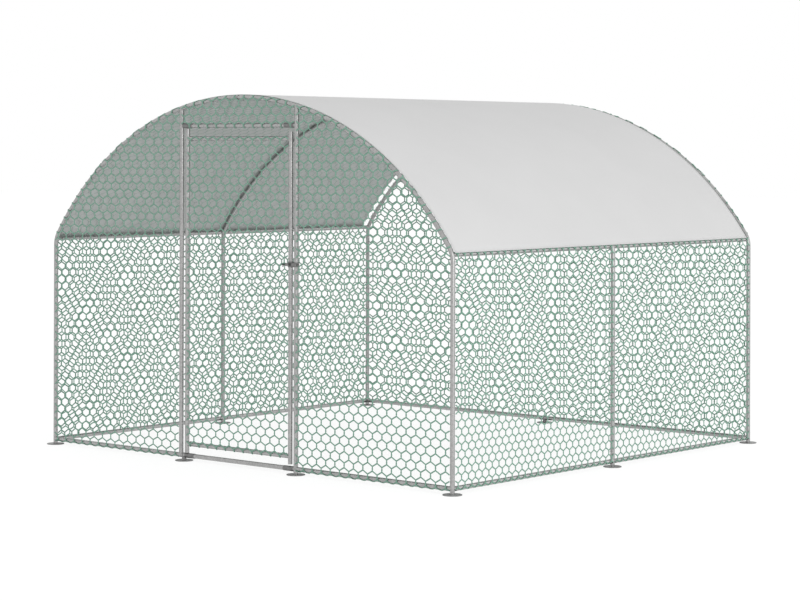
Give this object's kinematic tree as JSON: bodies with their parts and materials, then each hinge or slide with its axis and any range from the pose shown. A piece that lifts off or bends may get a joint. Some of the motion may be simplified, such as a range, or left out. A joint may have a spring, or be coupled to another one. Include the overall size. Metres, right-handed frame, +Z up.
{
  "type": "metal chicken coop",
  "caption": "Walk-in tunnel chicken coop of round galvanised tube with green hexagonal netting, a stretched roof cover and a hinged, bolted door.",
  "frame": {"origin": "on the ground, in the middle of the rectangle that the foot plates cover", "axes": "+X across the coop to the latch side of the door, +Y from the door to the rear gable, +Z up"},
  "size_m": [3.1, 2.85, 2.0231],
  "materials": {
    "galvanised_tube": "galvanised, satin",
    "foot_plate": "galvanised sheet, satin",
    "green_wire": "coated green, semi-gloss",
    "cover_cloth": "coated woven sheet, matt",
    "dark_fitting": "dark zinc, satin",
    "bolt_steel": "dark zinc, satin",
    "screw_zinc": "zinc plated"
  },
  "bodies": {
    "frame": {"post_front_left": "galvanised_tube", "post_front_right": "galvanised_tube", "post_middle_left": "galvanised_tube", "post_middle_right": "galvanised_tube", "post_rear_left": "galvanised_tube", "post_rear_right": "galvanised_tube", "arch_front_left": "galvanised_tube", "arch_front_right": "galvanised_tube", "arch_middle_left": "galvanised_tube", "arch_middle_right": "galvanised_tube", "arch_rear_left": "galvanised_tube", "arch_rear_right": "galvanised_tube", "ridge_rail_front": "galvanised_tube", "ridge_rail_rear": "galvanised_tube", "eave_rail_left_front": "galvanised_tube", "eave_rail_left_rear": "galvanised_tube", "eave_rail_right_front": "galvanised_tube", "eave_rail_right_rear": "galvanised_tube", "base_rail_left_front": "galvanised_tube", "base_rail_left_rear": "galvanised_tube", "base_rail_right_front": "galvanised_tube", "base_rail_right_rear": "galvanised_tube", "base_rail_rear_left": "galvanised_tube", "base_rail_rear_right": "galvanised_tube", "base_rail_front_left": "galvanised_tube", "base_rail_front_right": "galvanised_tube", "threshold_rail": "galvanised_tube", "header_rail": "galvanised_tube", "hinge_post": "galvanised_tube", "latch_post": "galvanised_tube", "apex_couplers": "galvanised_tube", "post_feet": "foot_plate", "hinge_foot": "foot_plate", "rear_foot": "foot_plate", "net_front_left": "green_wire", "net_front_right": "green_wire", "net_front_top": "green_wire", "net_rear_left": "green_wire", "net_rear_right": "green_wire", "net_left_front": "green_wire", "net_left_rear": "green_wire", "net_right_front": "green_wire", "net_right_rear": "green_wire", "roof_net": "green_wire", "roof_cover": "cover_cloth", "door_frame_sleeves": "dark_fitting", "bolt_keeper": "dark_fitting", "frame_screws": "screw_zinc"},
    "door": {"door_top_rail": "galvanised_tube", "door_bottom_rail": "galvanised_tube", "door_hinge_stile": "galvanised_tube", "door_latch_stile": "galvanised_tube", "lower_pivot": "dark_fitting", "upper_pivot": "dark_fitting", "latch_guide": "dark_fitting", "door_screws": "screw_zinc", "door_net": "green_wire"},
    "bolt": {"latch_bolt": "bolt_steel"}
  },
  "joints": [
    {"name": "door_hinge", "type": "hinge", "parent": "frame", "child": "door", "pos_m": [-0.399, -1.375, 0.9], "axis": [0, 0, -1], "range_deg": [0, 120]},
    {"name": "bolt_slide", "type": "slide", "parent": "door", "child": "bolt", "axis": [1, 0, 0], "range_m": [0, 0.016]}
  ]
}
